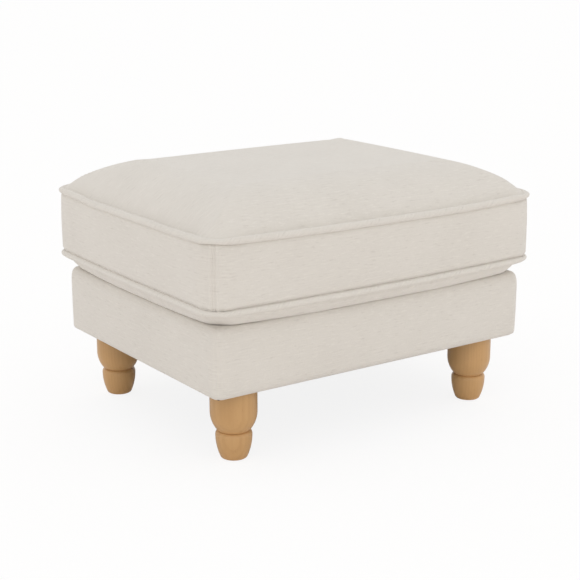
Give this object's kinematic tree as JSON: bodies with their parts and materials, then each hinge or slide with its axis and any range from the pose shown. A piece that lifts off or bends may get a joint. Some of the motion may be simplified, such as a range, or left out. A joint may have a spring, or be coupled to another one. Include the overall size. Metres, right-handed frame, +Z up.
{
  "type": "upholstered footstool",
  "caption": "Upholstered footstool with a loose crowned box cushion, piped edges, a padded base and turned wooden legs.",
  "frame": {"origin": "on the floor, under the middle of the stool", "axes": "+X along the long side, -Y towards the front, +Z up"},
  "size_m": [0.7, 0.5627, 0.4508],
  "materials": {
    "cushion_fabric": "matte",
    "piping_fabric": "matte",
    "base_fabric": "matte",
    "foam": "matte",
    "fibre": "matte",
    "piping_cord": "matte",
    "zip_tape": "matte",
    "zip_coil": "satin",
    "zip_metal": "satin",
    "frame_timber": "matte",
    "webbing": "matte",
    "hessian": "matte",
    "dust_cover_cloth": "matte",
    "leg_wood": "satin",
    "steel": "satin",
    "glide_plastic": "satin"
  },
  "bodies": {
    "base": {"rail_front": "frame_timber", "rail_back": "frame_timber", "rail_left": "frame_timber", "rail_right": "frame_timber", "corner_block_front_left": "frame_timber", "corner_block_front_right": "frame_timber", "corner_block_back_left": "frame_timber", "corner_block_back_right": "frame_timber", "block_screws": "steel", "webbing_long_1": "webbing", "webbing_long_2": "webbing", "webbing_long_3": "webbing", "webbing_cross_1": "webbing", "webbing_cross_2": "webbing", "webbing_cross_3": "webbing", "webbing_cross_4": "webbing", "hessian": "hessian", "deck_foam": "foam", "deck_cloth": "base_fabric", "padding_front": "fibre", "padding_back": "fibre", "padding_left": "fibre", "padding_right": "fibre", "base_cover_front": "base_fabric", "base_cover_back": "base_fabric", "base_cover_left": "base_fabric", "base_cover_right": "base_fabric", "dust_cover": "dust_cover_cloth", "staples": "steel", "leg_front_left": "leg_wood", "leg_front_right": "leg_wood", "leg_back_left": "leg_wood", "leg_back_right": "leg_wood", "hanger_bolts": "steel", "tee_nuts": "steel", "leg_glides": "glide_plastic"},
    "cushion": {"cushion_foam": "foam", "cushion_fibre_top": "fibre", "cushion_fibre_bottom": "fibre", "cushion_top_panel": "cushion_fabric", "cushion_bottom_panel": "cushion_fabric", "border_front": "cushion_fabric", "border_left": "cushion_fabric", "border_right": "cushion_fabric", "border_back_upper": "cushion_fabric", "border_back_lower": "cushion_fabric", "piping_top": "piping_fabric", "piping_bottom": "piping_fabric", "piping_cord_top": "piping_cord", "piping_cord_bottom": "piping_cord", "zip_tape": "zip_tape", "zip_coils": "zip_coil", "zip_end_stops": "zip_metal"},
    "zip_slider": {"zip_slider": "zip_metal"},
    "zip_pull": {"zip_pull": "zip_metal"}
  },
  "joints": [
    {"name": "cushion_lift", "type": "slide", "parent": "base", "child": "cushion", "axis": [0, 0, 1], "range_m": [0, 0.25]},
    {"name": "zip_slide", "type": "slide", "parent": "cushion", "child": "zip_slider", "axis": [-1, 0, 0], "range_m": [0, 0.52]},
    {"name": "zip_pull_turn", "type": "hinge", "parent": "zip_slider", "child": "zip_pull", "pos_m": [0.26, 0.2812, 0.334], "axis": [0, 0, -1], "range_deg": [0, 170]}
  ]
}
